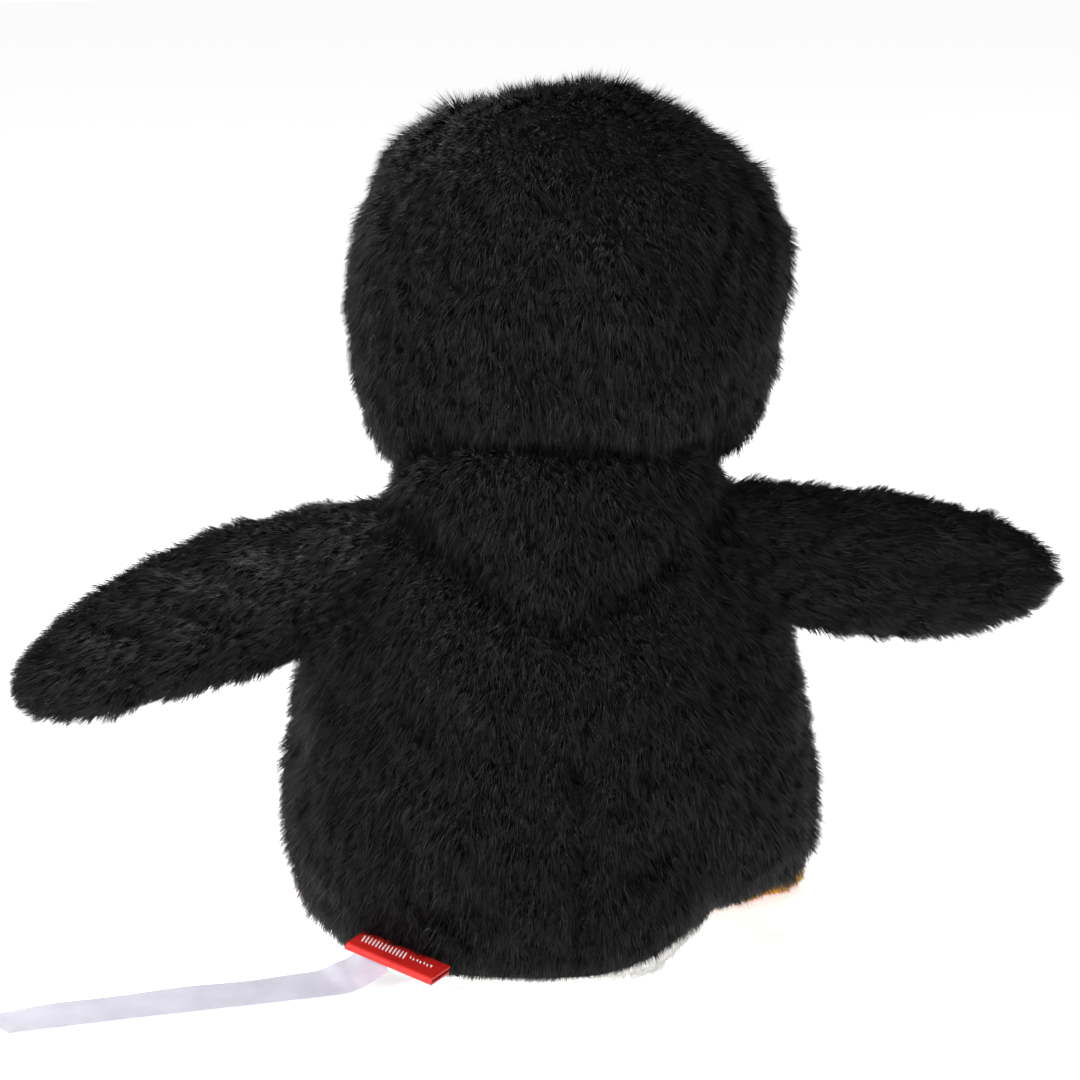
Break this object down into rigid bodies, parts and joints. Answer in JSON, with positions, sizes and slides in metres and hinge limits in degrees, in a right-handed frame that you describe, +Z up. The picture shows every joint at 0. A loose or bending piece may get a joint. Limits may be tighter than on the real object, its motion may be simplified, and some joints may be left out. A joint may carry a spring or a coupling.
{
  "type": "plush penguin",
  "caption": "Stuffed plush penguin: short black pile, pale front, orange beak and feet, spread flippers, a red loop tag and a long satin ribbon label at the seat.",
  "frame": {"origin": "middle of the flat seat that the toy stands on", "axes": "+Z up, -Y the way the face looks, +X the penguin's left"},
  "size_m": [0.3056, 0.156, 0.243],
  "materials": {
    "black_plush": "short dense pile, soft sheen",
    "white_plush": "short dense pile, matte",
    "yellow_plush": "very short pile",
    "orange_plush": "very short pile",
    "polyester_filling": "loose fibre",
    "black_gloss_plastic": "polished",
    "washer_plastic": "moulded",
    "black_thread": "twisted thread",
    "red_woven_tag": "fine taffeta weave",
    "white_satin": "satin, soft gloss"
  },
  "bodies": {
    "torso": {"back_panel_left": "black_plush", "back_panel_right": "black_plush", "nape_panel": "black_plush", "belly_panel": "white_plush", "base_panel": "white_plush", "body_stuffing": "polyester_filling", "closing_stitches": "black_thread", "loop_tag": "red_woven_tag", "care_label_sewn_end": "white_satin"},
    "neck": {"neck_stuffing": "polyester_filling"},
    "head": {"head_panel_left": "black_plush", "head_panel_right": "black_plush", "face_panel": "white_plush", "head_stuffing": "polyester_filling", "beak_upper": "orange_plush", "beak_lower": "orange_plush", "eye_left": "black_gloss_plastic", "eye_right": "black_gloss_plastic", "eye_washer_left": "washer_plastic", "eye_washer_right": "washer_plastic"},
    "flipper_left": {"flipper_back_left": "black_plush", "flipper_front_left": "black_plush", "flipper_stuffing_left": "polyester_filling"},
    "flipper_right": {"flipper_back_right": "black_plush", "flipper_front_right": "black_plush", "flipper_stuffing_right": "polyester_filling"},
    "foot_left": {"foot_top_left": "yellow_plush", "foot_sole_left": "orange_plush", "foot_stuffing_left": "polyester_filling"},
    "foot_right": {"foot_top_right": "yellow_plush", "foot_sole_right": "orange_plush", "foot_stuffing_right": "polyester_filling"},
    "label": {"care_label": "white_satin"}
  },
  "joints": [
    {"name": "neck_turn", "type": "hinge", "parent": "torso", "child": "neck", "pos_m": [0, 0, 0.135], "axis": [0, 0, 1], "range_deg": [-20, 20], "stiffness_Nm_per_rad": 0.15},
    {"name": "head_nod", "type": "hinge", "parent": "neck", "child": "head", "pos_m": [0, 0, 0.135], "axis": [1, 0, 0], "range_deg": [-10, 10], "stiffness_Nm_per_rad": 0.25},
    {"name": "flipper_left_swing", "type": "hinge", "parent": "torso", "child": "flipper_left", "pos_m": [0.063, 0, 0.106], "axis": [0.4586, 0, -0.8886], "range_deg": [-40, 60], "stiffness_Nm_per_rad": 0.01},
    {"name": "flipper_right_swing", "type": "hinge", "parent": "torso", "child": "flipper_right", "pos_m": [-0.063, 0, 0.109], "axis": [0.4586, 0, 0.8886], "range_deg": [-40, 60], "stiffness_Nm_per_rad": 0.01},
    {"name": "foot_left_flex", "type": "hinge", "parent": "torso", "child": "foot_left", "pos_m": [0.035, -0.047, 0.0042], "axis": [-0.9397, -0.342, 0], "range_deg": [0, 20], "stiffness_Nm_per_rad": 0.01},
    {"name": "foot_right_flex", "type": "hinge", "parent": "torso", "child": "foot_right", "pos_m": [-0.0427, -0.0389, 0.0042], "axis": [-0.6157, 0.788, 0], "range_deg": [0, 20], "stiffness_Nm_per_rad": 0.01},
    {"name": "care_label_lift", "type": "hinge", "parent": "torso", "child": "label", "pos_m": [0.06595, 0.0357, 0.00045], "axis": [0.2394, -0.9709, 0], "range_deg": [0, 60]}
  ]
}
